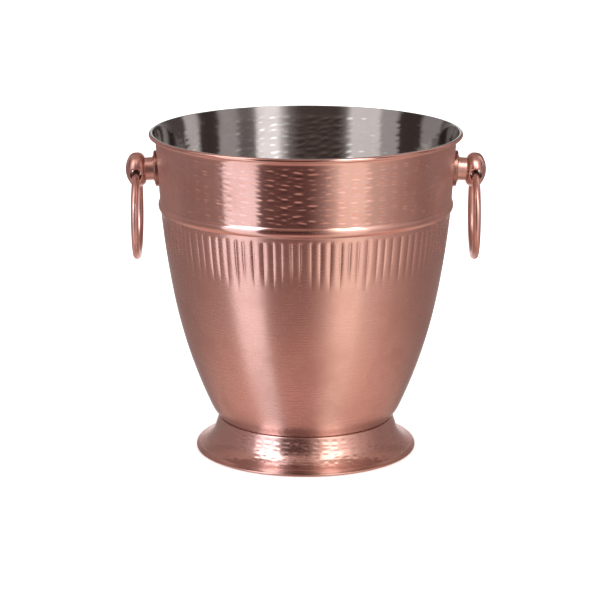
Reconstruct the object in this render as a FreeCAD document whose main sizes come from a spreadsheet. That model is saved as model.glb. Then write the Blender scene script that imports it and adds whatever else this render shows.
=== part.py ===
"""Footed metal ice bucket with two ring handles, in millimetres.

+Z is up. The origin is the centre of the circle on which the foot stands, so the foot rests on
z = 0. The handles stand on the +X side (right) and the -X side (left), and the front is -Y.
"""

import FreeCAD, Part
import math
import os
import Sketcher
from FreeCAD import Placement, Rotation, Vector

START, END, CENTRE = 1, 2, 3  # the points of a sketch edge
ORIGIN, ACROSS_AXIS, UP_AXIS = -1, -1, -2  # a sketch's own origin and its two axes
UPRIGHT = Rotation(Vector(1, 0, 0), 90)  # turns a flat sketch to stand on the XZ plane

# Rough reaches and turns, in mm and degrees, from which the constraints find the true ones.
ROUGH_FLOOR = 37.3
ROUGH_CORNER, ROUGH_LOWER_WALL, ROUGH_UPPER_WALL = 65.4, 13.9, 5.2
ROUGH_BEAD_START, ROUGH_BEAD = -40, 84
ROUGH_NECK, ROUGH_FOLD, ROUGH_DISH = 8.6, 123, -43

# Every driving dimension: name in the sheet, value and what it measures.
DRIVING = [
    ("overall_height", 229.0, "foot's base to the top of the rim"),
    ("rim_radius", 110.0, "outside of the rolled rim"),
    ("sheet", 0.8, "thickness of the bowl's and the foot's sheet"),
    ("curl_radius", 1.6, "outside of the rolled edge's own section"),
    ("curl_wrap", 280.0, "degrees that the edge is rolled round"),
    ("flare_angle", 50.0, "degrees from upright where the flare meets the curl"),
    ("flare_radius", 7.0, "outside of the flare under the rim"),
    ("collar_angle", 3.8, "degrees that the collar opens upwards"),
    ("bead_top", 180.8, "height where the bead meets the collar"),
    ("bead_foot", 173.8, "height where the bead meets the wall"),
    ("bead_radius", 4.9, "section radius of the raised bead"),
    ("wall_top_radius", 102.05, "outside of the wall under the bead"),
    ("belly_height", 114.5, "height where the wall's two long curves meet"),
    ("upper_wall_curve", 650.0, "section radius of the upper wall"),
    ("lower_wall_curve", 351.5, "section radius of the lower wall"),
    ("corner_height", 33.5, "height where the wall turns in to the floor"),
    ("corner_curve", 33.7, "section radius of that turn"),
    ("floor_height", 13.8, "underside of the bowl's flat floor"),
    ("foot_radius", 78.5, "outside of the foot's upright lip"),
    ("hem_width", 3.5, "flat strip on which the foot stands"),
    ("hem_curve", 1.3, "outside corner between the strip and the lip"),
    ("lip_height", 1.6, "where the foot's lip starts to round over"),
    ("shoulder_curve", 2.2, "rounding at the top of the lip"),
    ("shoulder_slope", 11.0, "degrees that the flare rises from that rounding"),
    ("foot_curve", 15.2, "section radius of the foot's hollow flare"),
    ("neck_slope", 17.0, "degrees that the foot's neck leans in"),
    ("fold_curve", 1.1, "outside of the fold at the top of the foot"),
    ("seat_gap", 0.1, "air between the foot's dish and the bowl's curve"),
    ("stud_radius", 3.0, "M6 stud under the bowl"),
    ("stud_length", 11.4, "stud from the bowl to its tip"),
    ("stud_flange_radius", 3.8, "weld flange of the stud"),
    ("stud_flange_height", 0.8, "thickness of that flange"),
    ("foot_hole_radius", 4.2, "hole for the stud in the foot's dish"),
    ("foot_washer_radius", 17.0, "outside of the washer under the dish"),
    ("foot_washer_height", 1.5, "thickness of that washer"),
    ("foot_lock_radius", 5.9, "outside of the M6 lock washer"),
    ("foot_lock_height", 1.6, "thickness of the M6 lock washer"),
    ("nut_flats", 10.0, "across the M6 nut's flats"),
    ("nut_height", 5.0, "thickness of the M6 nut"),
    ("nut_chamfer", 30.0, "degrees at which the nut's corners are turned off"),
    ("thread_ease", 0.02, "radial play of a screw in its thread"),
    ("screw_ease", 0.25, "radial play of a screw in a plain hole"),
    ("handle_height", 202.3, "height of the handle screws where they leave the wall"),
    ("rosette_radius", 12.7, "outside of the plate under each knob"),
    ("rosette_height", 2.2, "plate's front face from the wall"),
    ("rosette_round", 0.9, "rounding of the plate's front edge"),
    ("rosette_gap", 0.05, "air between the plate's hollowed back and the wall"),
    ("step_radius", 9.1, "outside of the step at the neck's root"),
    ("step_height", 0.9, "length of that step"),
    ("neck_radius", 8.1, "outside of the knob's neck"),
    ("bun_centre", 15.0, "knob's widest point from the wall"),
    ("bun_radius", 12.1, "outside of the knob at its widest"),
    ("bun_nose", 7.6, "knob's widest point to its nose"),
    ("bun_edge_curve", 5.5, "section radius of the knob's front edge"),
    ("bun_back_curve", 5.1, "section radius of the knob's back edge"),
    ("bun_band", 1.6, "straight band at the knob's widest point"),
    ("ring_hole_drop", 2.0, "ring's hole below the middle of the knob"),
    ("ring_hole_radius", 3.9, "hole that the ring hangs in"),
    ("ring_hole_straight", 9.6, "half of the hole's straight length"),
    ("ring_hole_round", 1.2, "rounding of the hole's mouths"),
    ("ring_radius", 29.9, "ring's centre line"),
    ("wire_radius", 2.6, "ring's own section"),
    ("ring_rise", 0.55, "ring's wire above the hole's axis, at rest"),
    ("tapped_depth", 8.2, "threaded hole in the back of the knob"),
    ("screw_radius", 2.5, "M5 handle screw"),
    ("screw_grip", 7.4, "screw's length inside the knob"),
    ("head_radius", 4.75, "outside of the screw's domed head"),
    ("head_height", 2.8, "height of the screw's head"),
    ("head_edge", 0.7, "upright edge of the head under its dome"),
    ("key_flats", 3.0, "across the key hole's flats"),
    ("key_depth", 1.5, "depth of the key hole"),
    ("washer_radius", 5.5, "outside of the washer inside the bowl"),
    ("washer_height", 1.0, "thickness of that washer"),
    ("washer_gap", 0.2, "air behind the flat washer on the hollow wall"),
    ("lock_radius", 4.6, "outside of the M5 lock washer"),
    ("lock_height", 1.2, "thickness of the M5 lock washer"),
    ("lock_slit", 1.1, "width of a lock washer's slit"),
    ("lock_slant", 20.0, "degrees that the slit is slanted"),
    ("edge_break", 0.4, "small chamfer on turned edges"),
]

doc = FreeCAD.newDocument("ice_bucket")
sheet = doc.addObject("Spreadsheet::Sheet", "Sizes")
for row, (alias, number, meaning) in enumerate(DRIVING, start=1):
    sheet.set(f"A{row}", meaning)
    sheet.set(f"B{row}", str(number))
    sheet.setAlias(f"B{row}", alias)
doc.recompute()


class Size:
    """A length or angle that knows its number and the expression that gives it from the sheet."""

    def __init__(self, value, text):
        self.value = float(value)
        self.text = text

    def joined(self, other, sign, result):
        return Size(result, f"({self.text} {sign} {as_size(other).text})")

    def __add__(self, other):
        return self.joined(other, "+", self.value + as_size(other).value)

    def __sub__(self, other):
        return self.joined(other, "-", self.value - as_size(other).value)

    def __mul__(self, other):
        return self.joined(other, "*", self.value * as_size(other).value)

    def __truediv__(self, other):
        return self.joined(other, "/", self.value / as_size(other).value)

    def __neg__(self):
        return Size(-self.value, f"(0 - {self.text})")


def as_size(number):
    return number if isinstance(number, Size) else Size(number, str(number))


def cosine(angle):
    return Size(math.cos(math.radians(angle.value)), f"cos({angle.text})")


def sine(angle):
    return Size(math.sin(math.radians(angle.value)), f"sin({angle.text})")


def tangent(angle):
    return Size(math.tan(math.radians(angle.value)), f"tan({angle.text})")


def root(square):
    return Size(math.sqrt(square.value), f"sqrt({square.text})")


class Sizes:
    """Gives each driving dimension by name, as a Size."""

    def __init__(self, rows):
        for name, value, _ in rows:
            setattr(self, name, Size(value, f"Sizes.{name}"))


size = Sizes(DRIVING)


class Outline:
    """A chain of lines and arcs in one sketch, each one starting where the last one ends.

    The pen's heading is in degrees, anticlockwise from the sketch's horizontal axis, and a
    positive turn is to the left. The pen only has to come close: the constraints set the shape.
    """

    def __init__(self, sketch, start, heading):
        self.sketch = sketch
        self.first = Vector(start[0].value, start[1].value, 0)
        self.point = self.first
        self.heading = heading
        self.edges = []
        self.first_edge = None

    def add(self, curve, begins, ends, smooth):
        edge = self.sketch.addGeometry(curve, False)
        if self.edges:
            joint = "Tangent" if smooth else "Coincident"
            last, last_end = self.edges[-1]
            self.sketch.addConstraint(Sketcher.Constraint(joint, last, last_end, edge, begins))
        else:
            self.first_edge = (edge, begins)
        self.edges.append((edge, ends))
        return edge

    def line(self, length, smooth=False):
        heading = math.radians(self.heading)
        goal = self.point + Vector(math.cos(heading), math.sin(heading), 0) * length
        return self.line_to(goal.x, goal.y, smooth)

    def line_to(self, across, up, smooth=False):
        goal = Vector(across, up, 0)
        edge = self.add(Part.LineSegment(self.point, goal), START, END, smooth)
        step = goal - self.point
        self.heading = math.degrees(math.atan2(step.y, step.x))
        self.point = goal
        return edge

    def arc(self, radius, turn, smooth=True):
        side = 1 if turn > 0 else -1
        inward = math.radians(self.heading + 90 * side)
        centre = self.point + Vector(math.cos(inward), math.sin(inward), 0) * radius.value
        before = self.heading - 90 * side
        low, high = sorted((before, before + turn))
        circle = Part.Circle(centre, Vector(0, 0, 1), radius.value)
        curve = Part.ArcOfCircle(circle, math.radians(low), math.radians(high))
        begins, ends = (START, END) if turn > 0 else (END, START)
        edge = self.add(curve, begins, ends, smooth)
        after = math.radians(before + turn)
        self.point = centre + Vector(math.cos(after), math.sin(after), 0) * radius.value
        self.heading += turn
        hold(self.sketch, "Radius", (edge,), radius)
        return edge

    def turn(self, degrees):
        self.heading += degrees

    def close(self):
        """Draws the last line back to the first point."""
        edge = self.line_to(self.first.x, self.first.y)
        self.sketch.addConstraint(Sketcher.Constraint("Coincident", edge, END, *self.first_edge))
        return edge


def hold(sketch, kind, where, amount):
    """Adds a constraint whose amount comes from the sheet."""
    number = math.radians(amount.value) if kind == "Angle" else amount.value
    index = sketch.addConstraint(Sketcher.Constraint(kind, *where, number))
    sketch.setExpression(f"Constraints[{index}]", amount.text)


def place_point(sketch, edge, end, across=None, up=None):
    """Holds one point of an edge at a distance across and up from the sketch's origin."""
    if across is not None:
        hold(sketch, "DistanceX", (ORIGIN, START, edge, end), across)
    if up is not None:
        hold(sketch, "DistanceY", (ORIGIN, START, edge, end), up)


def read_off(sketch, name, edge):
    """Measures the level reach of an edge, for other parts to use."""
    reach = sketch.Geometry[edge].EndPoint.x - sketch.Geometry[edge].StartPoint.x
    where = Sketcher.Constraint("DistanceX", edge, START, edge, END, reach)
    index = sketch.addConstraint(where)
    sketch.setDriving(index, False)
    sketch.renameConstraint(index, name)
    doc.recompute()
    return Size(sketch.Constraints[index].Value, f"{sketch.Name}.Constraints.{name}")


def level(sketch, *edges):
    for edge in edges:
        sketch.addConstraint(Sketcher.Constraint("Horizontal", edge))


def upright(sketch, *edges):
    for edge in edges:
        sketch.addConstraint(Sketcher.Constraint("Vertical", edge))


def on_across_axis(sketch, edge, end):
    sketch.addConstraint(Sketcher.Constraint("PointOnObject", edge, end, ACROSS_AXIS))


def on_up_axis(sketch, edge, end):
    sketch.addConstraint(Sketcher.Constraint("PointOnObject", edge, end, UP_AXIS))


def bind(thing, **expressions):
    """Binds properties of an object to sizes from the sheet."""
    for name, amount in expressions.items():
        thing.setExpression(name, amount.text)


def profile_sketch(name):
    """A free sketch on the XZ plane: across is the radius and up is the height."""
    sketch = doc.addObject("Sketcher::SketchObject", name)
    sketch.Placement = Placement(Vector(0, 0, 0), UPRIGHT)
    return sketch


def body_sketch(body, name, plane_role):
    """A sketch on one of a body's own origin planes."""
    sketch = body.newObject("Sketcher::SketchObject", name)
    plane = next(f for f in body.Origin.OriginFeatures if f.Role == plane_role)
    sketch.AttachmentSupport = [(plane, "")]
    sketch.MapMode = "FlatFace"
    return sketch


def spun_sheet(name, outline_sketch):
    """Thickens an open outline to the inside by one sheet and spins it about the Z axis."""
    section = doc.addObject("Part::Offset2D", f"{name}_section")
    section.Source = outline_sketch
    section.Mode = "Skin"
    section.Join = "Arc"
    section.Fill = True
    section.Value = size.sheet.value
    bind(section, Value=size.sheet)
    spun = doc.addObject("Part::Revolution", f"{name}_spun")
    spun.Source = section
    spun.Axis = Vector(0, 0, 1)
    spun.Base = Vector(0, 0, 0)
    spun.Angle = 360
    spun.Solid = True
    return spun


def turned_body(name, draw):
    """A body turned about its own X axis from a closed outline that draw() puts in the sketch."""
    body = doc.addObject("PartDesign::Body", name)
    sketch = body_sketch(body, f"{name}_outline", "XZ_Plane")
    draw(sketch)
    turned = body.newObject("PartDesign::Revolution", f"{name}_turned")
    turned.Profile = sketch
    turned.ReferenceAxis = (sketch, ["H_Axis"])
    turned.Angle = 360
    doc.recompute()
    return body


def polygon(sketch, corners):
    """Draws a closed outline of straight lines and holds each of its corners."""
    pen = Outline(sketch, corners[0], 0)
    for across, up in corners[1:]:
        pen.line_to(across.value, up.value)
    pen.close()
    for (edge, _), (across, up) in zip(pen.edges, corners):
        hold_corner(sketch, edge, START, across, up)


def hold_corner(sketch, edge, end, across, up):
    """Holds a point at two sizes, or on an axis where a size is zero."""
    if across.value == 0:
        on_up_axis(sketch, edge, end)
    else:
        place_point(sketch, edge, end, across=across)
    if up.value == 0:
        on_across_axis(sketch, edge, end)
    else:
        place_point(sketch, edge, end, up=up)


def cut_away(body, name, sketch, length, backwards):
    """Cuts a sketch into a body to a depth, and stops if nothing came off."""
    before = body.Shape.Volume
    pocket = body.newObject("PartDesign::Pocket", name)
    pocket.Profile = sketch
    pocket.Length = length.value
    bind(pocket, Length=length)
    pocket.Reversed = backwards
    doc.recompute()
    if body.Shape.Volume >= before:
        raise RuntimeError(f"{name} cut nothing")


def hexagon(sketch, flats):
    """Draws a regular hexagon about the sketch's origin, with two sides level."""
    corner = flats / root(as_size(3))
    points = [
        Vector(
            corner.value * math.cos(math.radians(60 * i)),
            corner.value * math.sin(math.radians(60 * i)),
            0,
        )
        for i in range(6)
    ]
    for i in range(6):
        sketch.addGeometry(Part.LineSegment(points[i], points[(i + 1) % 6]), False)
    circle = sketch.addGeometry(
        Part.Circle(Vector(0, 0, 0), Vector(0, 0, 1), corner.value), True
    )
    for i in range(6):
        sketch.addConstraint(Sketcher.Constraint("Coincident", i, END, (i + 1) % 6, START))
        sketch.addConstraint(Sketcher.Constraint("PointOnObject", i, START, circle))
    for i in range(1, 6):
        sketch.addConstraint(Sketcher.Constraint("Equal", 0, i))
    sketch.addConstraint(Sketcher.Constraint("Coincident", circle, CENTRE, ORIGIN, START))
    on_across_axis(sketch, 0, START)
    hold(sketch, "Radius", (circle,), corner)


# --- Where things meet -------------------------------------------------------------------------

nothing = as_size(0)
curl_inside = size.curl_radius - size.sheet
curl_across = size.rim_radius - size.curl_radius
curl_up = size.overall_height - size.curl_radius
flare_reach = size.flare_radius - curl_inside
flare_across = curl_across + flare_reach * cosine(size.flare_angle)
flare_up = curl_up - flare_reach * sine(size.flare_angle)
collar_across = flare_across - size.flare_radius * cosine(size.collar_angle)
collar_up = flare_up + size.flare_radius * sine(size.collar_angle)


def collar_radius(height):
    """The collar's outside radius at a height; the collar is a plain cone."""
    return collar_across - (collar_up - height) * tangent(size.collar_angle)


handle_across = collar_radius(size.handle_height)
wall_back = -size.sheet
washer_front = wall_back - size.washer_gap
lock_front = washer_front - size.washer_height
head_front = lock_front - size.lock_height
head_back = head_front - size.head_height


def handle_place(side):
    """The frame of one handle: its X axis runs out of the wall along the screw."""
    turn = Rotation(Vector(0, 0, 1), 0 if side == "right" else 180)
    lean = Rotation(Vector(0, 1, 0), size.collar_angle.value)
    at = turn.multVec(Vector(handle_across.value, 0, size.handle_height.value))
    return Placement(at, turn * lean)


SIDES = ("left", "right")


# --- Bowl --------------------------------------------------------------------------------------


def bowl_outline():
    """The bowl's outside, from the middle of the floor to the end of the rolled edge."""
    sketch = profile_sketch("bowl_outline")
    pen = Outline(sketch, (nothing, size.floor_height), 0)
    floor = pen.line(ROUGH_FLOOR)
    corner = pen.arc(size.corner_curve, ROUGH_CORNER)
    lower = pen.arc(size.lower_wall_curve, ROUGH_LOWER_WALL)
    upper = pen.arc(size.upper_wall_curve, ROUGH_UPPER_WALL)
    pen.turn(ROUGH_BEAD_START)
    bead = pen.arc(size.bead_radius, ROUGH_BEAD, smooth=False)
    collar_foot = collar_radius(size.bead_top)
    pen.point = Vector(collar_foot.value, size.bead_top.value, 0)
    pen.heading = 90 - size.collar_angle.value
    rise = (collar_up - size.bead_top) / cosine(size.collar_angle)
    collar = pen.line(rise.value)
    flare = pen.arc(size.flare_radius, size.collar_angle.value - size.flare_angle.value)
    curl = pen.arc(curl_inside, -size.curl_wrap.value)

    on_up_axis(sketch, floor, START)
    place_point(sketch, floor, START, up=size.floor_height)
    level(sketch, floor)
    place_point(sketch, corner, END, up=size.corner_height)
    place_point(sketch, lower, END, up=size.belly_height)
    place_point(sketch, upper, END, size.wall_top_radius, size.bead_foot)
    place_point(sketch, bead, END, up=size.bead_top)
    place_point(sketch, curl, CENTRE, curl_across, curl_up)
    hold(sketch, "Angle", (collar,), as_size(90) - size.collar_angle)
    hold(sketch, "Angle", (flare,), size.flare_angle - size.collar_angle)
    hold(sketch, "Angle", (curl,), size.curl_wrap)
    return sketch, read_off(sketch, "floor_radius", floor)


def bowl(outline):
    """The spun bowl, with one hole in the collar for each handle's screw."""
    part = spun_sheet("bowl", outline)
    drill_lead = size.sheet * 3
    for side in SIDES:
        drill = doc.addObject("Part::Cylinder", f"{side}_wall_drill")
        bind(drill, Radius=size.screw_radius + size.screw_ease, Height=drill_lead * 2)
        inwards = Rotation(Vector(0, 0, 1), Vector(-1, 0, 0))
        start = Placement(Vector(drill_lead.value, 0, 0), inwards)
        drill.Placement = handle_place(side) * start
        drilled = doc.addObject("Part::Cut", f"bowl_drilled_{side}")
        drilled.Base = part
        drilled.Tool = drill
        part = drilled
    part.Label = "bowl"
    return part


# --- Foot --------------------------------------------------------------------------------------


def foot_outline(floor_radius):
    """The foot's outside, from the hem it stands on, up the flare, to its hole for the stud."""
    sketch = profile_sketch("foot_outline")
    strip = size.foot_radius - size.hem_curve
    pen = Outline(sketch, (strip - size.hem_width, nothing), 0)
    hem = pen.line(size.hem_width.value)
    pen.arc(size.hem_curve, 90)
    lip = pen.line(size.lip_height.value - size.hem_curve.value, smooth=True)
    shoulder = pen.arc(size.shoulder_curve, 90 - size.shoulder_slope.value)
    flare = pen.arc(size.foot_curve, -(90 - size.shoulder_slope.value - size.neck_slope.value))
    pen.line(ROUGH_NECK, smooth=True)
    pen.arc(size.fold_curve, ROUGH_FOLD)
    dish = pen.arc(size.corner_curve + size.seat_gap, ROUGH_DISH)
    seat = pen.line_to(size.foot_hole_radius.value, size.floor_height.value)

    on_across_axis(sketch, hem, START)
    place_point(sketch, hem, START, across=strip - size.hem_width)
    place_point(sketch, hem, END, strip, nothing)
    upright(sketch, lip)
    place_point(sketch, lip, END, up=size.lip_height)
    hold(sketch, "Angle", (shoulder,), as_size(90) - size.shoulder_slope)
    hold(sketch, "Angle", (flare,), as_size(90) - size.shoulder_slope - size.neck_slope)
    level(sketch, seat)
    place_point(sketch, seat, END, size.foot_hole_radius, size.floor_height)
    place_point(sketch, dish, CENTRE, floor_radius, size.floor_height + size.corner_curve)
    return sketch


def foot(floor_radius):
    """The flared foot: one sheet, folded in at the top into the dish that carries the bowl."""
    part = spun_sheet("foot", foot_outline(floor_radius))
    part.Label = "foot"
    return part


# --- Pieces that hold the foot to the bowl -----------------------------------------------------


def hung_at(height):
    """The frame of a piece under the bowl: its X axis points straight down from a height."""
    return Placement(Vector(0, 0, height.value), Rotation(Vector(0, 1, 0), 90))


def foot_stud():
    """The stud welded under the bowl: a flange, a shank and a chamfered tip."""
    break_start = size.stud_length - size.edge_break
    corners = [
        (nothing, nothing),
        (nothing, size.stud_flange_radius),
        (size.stud_flange_height, size.stud_flange_radius),
        (size.stud_flange_height, size.stud_radius),
        (break_start, size.stud_radius),
        (size.stud_length, size.stud_radius - size.edge_break),
        (size.stud_length, nothing),
    ]
    return turned_body("foot_stud", lambda sketch: polygon(sketch, corners))


def flat_washer(name, hole, outer, thickness):
    """A plain washer; its X axis runs through it from its first face."""
    corners = [(nothing, hole), (thickness, hole), (thickness, outer), (nothing, outer)]
    return turned_body(name, lambda sketch: polygon(sketch, corners))


def lock_washer(name, hole, outer, thickness):
    """A spring washer pressed flat, with its slanted slit."""
    body = flat_washer(name, hole, outer, thickness)
    slit = body_sketch(body, f"{name}_slit", "XY_Plane")
    half = size.lock_slit / 2
    shift = thickness * tangent(size.lock_slant)
    before, after = -thickness, thickness * 2
    corners = [
        (before, -half - shift),
        (after, shift * 2 - half),
        (after, shift * 2 + half),
        (before, half - shift),
    ]
    polygon(slit, corners)
    cut_away(body, f"{name}_cut", slit, outer * 2, backwards=True)
    return body


def hex_nut(name, hole, flats, thickness):
    """A hexagon nut with a plain bore in place of its thread and its corners turned off."""
    body = doc.addObject("PartDesign::Body", name)
    outline = body_sketch(body, f"{name}_outline", "YZ_Plane")
    hexagon(outline, flats)
    blank = body.newObject("PartDesign::Pad", f"{name}_blank")
    blank.Profile = outline
    blank.Length = thickness.value
    bind(blank, Length=thickness)
    doc.recompute()
    bore = body_sketch(body, f"{name}_bore", "YZ_Plane")
    circle = bore.addGeometry(Part.Circle(Vector(0, 0, 0), Vector(0, 0, 1), hole.value), False)
    bore.addConstraint(Sketcher.Constraint("Coincident", circle, CENTRE, ORIGIN, START))
    hold(bore, "Radius", (circle,), hole)
    cut_away(body, f"{name}_bored", bore, thickness * 2, backwards=True)
    corner = flats / root(as_size(3))
    overhang = corner - flats / 2
    slope = overhang * tangent(size.nut_chamfer)
    turned_off = [
        (thickness - slope * 2, corner + overhang),
        (thickness, flats / 2),
        (thickness * 2, flats / 2),
        (thickness * 2, corner + overhang),
    ]
    edge = body_sketch(body, f"{name}_edge", "XZ_Plane")
    polygon(edge, turned_off)
    cut_round(body, f"{name}_corners", edge, "H_Axis")
    return body


def cut_round(body, name, sketch, axis):
    """Turns a sketch about one of its own axes and cuts it away; stops if nothing came off."""
    before = body.Shape.Volume
    groove = body.newObject("PartDesign::Groove", name)
    groove.Profile = sketch
    groove.ReferenceAxis = (sketch, [axis])
    groove.Angle = 360
    doc.recompute()
    if body.Shape.Volume >= before:
        raise RuntimeError(f"{name} cut nothing")


def foot_fixings():
    """Everything on the stud, in the order that it goes on from below."""
    under_dish = size.floor_height - size.sheet
    under_washer = under_dish - size.foot_washer_height
    under_lock = under_washer - size.foot_lock_height
    clear_hole = size.stud_radius + size.screw_ease
    placed = {
        "foot_stud": (foot_stud(), size.floor_height),
        "foot_washer": (
            flat_washer(
                "foot_washer", clear_hole, size.foot_washer_radius, size.foot_washer_height
            ),
            under_dish,
        ),
        "foot_lock_washer": (
            lock_washer(
                "foot_lock_washer", clear_hole, size.foot_lock_radius, size.foot_lock_height
            ),
            under_washer,
        ),
        "foot_nut": (
            hex_nut(
                "foot_nut", size.stud_radius + size.thread_ease, size.nut_flats, size.nut_height
            ),
            under_lock,
        ),
    }
    for piece, height in placed.values():
        piece.Placement = hung_at(height)
    return [piece for piece, _ in placed.values()]


# --- Handles -----------------------------------------------------------------------------------


def knob_outline(sketch):
    """Half of the knob's section, with the threaded hole in its back."""
    bore = size.screw_radius + size.thread_ease
    bore_end = size.rosette_height + size.tapped_depth
    drill_tip = bore_end + bore / 2
    step_end = size.rosette_height + size.step_height
    back_centre = size.bun_centre - size.bun_band
    back_up = size.bun_radius - size.bun_back_curve
    over_neck = size.neck_radius - back_up
    back_reach = root(size.bun_back_curve * size.bun_back_curve - over_neck * over_neck)
    back_heading = math.degrees(math.atan2(back_reach.value, over_neck.value))
    edge_up = size.bun_radius - size.bun_edge_curve
    nose_curve = (
        size.bun_nose * size.bun_nose
        + edge_up * edge_up
        - size.bun_edge_curve * size.bun_edge_curve
    ) / ((size.bun_nose - size.bun_edge_curve) * 2)
    edge_turn = math.degrees(
        math.atan2(edge_up.value, nose_curve.value - size.bun_nose.value)
    )

    pen = Outline(sketch, (size.rosette_height, bore), 90)
    back = pen.line_to(size.rosette_height.value, size.step_radius.value)
    step = pen.line_to(step_end.value, size.step_radius.value)
    root_face = pen.line_to(step_end.value, size.neck_radius.value)
    neck = pen.line_to((back_centre - back_reach).value, size.neck_radius.value)
    pen.heading = back_heading
    pen.arc(size.bun_back_curve, -back_heading, smooth=False)
    band = pen.line(size.bun_band.value, smooth=True)
    pen.arc(size.bun_edge_curve, edge_turn - 90)
    nose = pen.arc(nose_curve, -edge_turn)
    axis_line = pen.line_to(drill_tip.value, 0)
    cone = pen.line_to(bore_end.value, bore.value)
    pen.close()

    upright(sketch, back, root_face)
    level(sketch, step, neck, band)
    place_point(sketch, back, START, size.rosette_height, bore)
    place_point(sketch, back, END, up=size.step_radius)
    place_point(sketch, step, END, across=step_end)
    place_point(sketch, neck, END, up=size.neck_radius)
    place_point(sketch, band, START, back_centre, size.bun_radius)
    place_point(sketch, band, END, across=size.bun_centre)
    on_across_axis(sketch, nose, CENTRE)
    on_across_axis(sketch, axis_line, START)
    hold_corner(sketch, cone, START, drill_tip, nothing)
    place_point(sketch, cone, END, bore_end, bore)


def ring_hole_outline(sketch):
    """Half of the ring hole's section: straight in the middle, rounded out at both mouths."""
    wide = size.ring_hole_radius + size.ring_hole_round
    outside = size.bun_radius + size.bun_edge_curve
    pen = Outline(sketch, (nothing, -outside), 0)
    low_face = pen.line(wide.value)
    pen.turn(90)
    low_side = pen.line_to(wide.value, -(size.ring_hole_straight + size.ring_hole_round).value)
    pen.turn(90)
    low_mouth = pen.arc(size.ring_hole_round, -90, smooth=False)
    wall = pen.line(size.ring_hole_straight.value * 2, smooth=True)
    high_mouth = pen.arc(size.ring_hole_round, -90)
    high_side = pen.line_to(wide.value, outside.value)
    high_face = pen.line_to(0, outside.value)
    pen.close()

    level(sketch, low_face, high_face)
    upright(sketch, low_side, wall, high_side)
    hold_corner(sketch, low_face, START, nothing, -outside)
    place_point(sketch, low_face, END, across=wide)
    place_point(sketch, low_mouth, CENTRE, wide, -size.ring_hole_straight)
    place_point(sketch, high_mouth, CENTRE, up=size.ring_hole_straight)
    place_point(sketch, high_side, END, across=wide)
    hold_corner(sketch, high_face, END, nothing, outside)


def knob(side):
    """A turned knob: neck, bun and nose, cross-drilled for the ring and threaded at its back."""
    name = f"{side}_knob"
    body = turned_body(name, knob_outline)
    hole = body_sketch(body, f"{name}_ring_hole", "XY_Plane")
    bind(
        hole,
        **{
            "AttachmentOffset.Base.x": size.bun_centre,
            "AttachmentOffset.Base.z": -size.ring_hole_drop,
        },
    )
    ring_hole_outline(hole)
    doc.recompute()
    cut_round(body, f"{name}_drilled", hole, "V_Axis")
    body.Placement = handle_place(side)
    return body


def rosette(side):
    """The round plate under the knob, its back hollowed to the collar's cone."""
    name = f"{side}_rosette"
    hole = size.screw_radius + size.screw_ease
    buried = -size.rosette_height

    def outline(sketch):
        pen = Outline(sketch, (buried, hole), 90)
        back = pen.line_to(buried.value, size.rosette_radius.value)
        rim_end = (size.rosette_height - size.rosette_round).value
        rim = pen.line_to(rim_end, size.rosette_radius.value)
        rounding = pen.arc(size.rosette_round, -90)
        face = pen.line_to(size.rosette_height.value, hole.value, smooth=True)
        bore = pen.close()
        upright(sketch, back, face)
        level(sketch, rim, bore)
        place_point(sketch, back, START, buried, hole)
        place_point(sketch, back, END, up=size.rosette_radius)
        place_point(sketch, rounding, START, across=size.rosette_height)

    blank = turned_body(f"{name}_blank", outline)
    blank.Placement = handle_place(side)
    wall = doc.addObject("Part::Cone", f"{name}_wall")
    reach = size.rosette_radius * 2
    low, high = size.handle_height - reach, size.handle_height + reach
    bind(
        wall,
        Radius1=collar_radius(low) + size.rosette_gap,
        Radius2=collar_radius(high) + size.rosette_gap,
        Height=high - low,
    )
    wall.setExpression("Placement.Base.z", low.text)
    part = doc.addObject("Part::Cut", name)
    part.Base = blank
    part.Tool = wall
    return part


def ring(side):
    """The loose ring, hanging in the knob's cross hole."""
    part = doc.addObject("Part::Torus", f"{side}_ring")
    bind(part, Radius1=size.ring_radius, Radius2=size.wire_radius)
    hole_axis = handle_place(side).multVec(
        Vector(size.bun_centre.value, 0, -size.ring_hole_drop.value)
    )
    centre = hole_axis + Vector(0, 0, (size.ring_rise - size.ring_radius).value)
    part.Placement = Placement(centre, Rotation(Vector(0, 1, 0), 90))
    return part


def handle_screw(side):
    """The screw from inside the bowl: a domed head with a hexagon key hole, and a shank."""
    name = f"{side}_screw"
    shank_end = size.rosette_height + size.screw_grip
    dome_height = size.head_height - size.head_edge
    dome_curve = (
        size.head_radius * size.head_radius + dome_height * dome_height
    ) / (dome_height * 2)
    dome_turn = math.degrees(math.asin(size.head_radius.value / dome_curve.value))

    def outline(sketch):
        pen = Outline(sketch, (head_back, nothing), 90)
        dome = pen.arc(dome_curve, -dome_turn)
        side_line = pen.line_to(head_front.value, size.head_radius.value)
        seat = pen.line_to(head_front.value, size.screw_radius.value)
        break_start = shank_end - size.edge_break
        shank = pen.line_to(break_start.value, size.screw_radius.value)
        tip = pen.line_to(shank_end.value, (size.screw_radius - size.edge_break).value)
        pen.line_to(shank_end.value, 0)
        pen.close()
        on_across_axis(sketch, dome, CENTRE)
        hold_corner(sketch, dome, END, head_back, nothing)
        place_point(sketch, side_line, START, up=size.head_radius)
        level(sketch, side_line, shank)
        upright(sketch, seat)
        place_point(sketch, seat, END, head_front, size.screw_radius)
        place_point(sketch, shank, END, across=break_start)
        place_point(sketch, tip, END, shank_end, size.screw_radius - size.edge_break)
        hold_corner(sketch, pen.edges[-1][0], START, shank_end, nothing)

    body = turned_body(name, outline)
    key = body_sketch(body, f"{name}_key", "YZ_Plane")
    key.setExpression("AttachmentOffset.Base.z", head_back.text)
    hexagon(key, size.key_flats)
    cut_away(body, f"{name}_key_hole", key, size.key_depth, backwards=True)
    body.Placement = handle_place(side)
    return body


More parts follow.
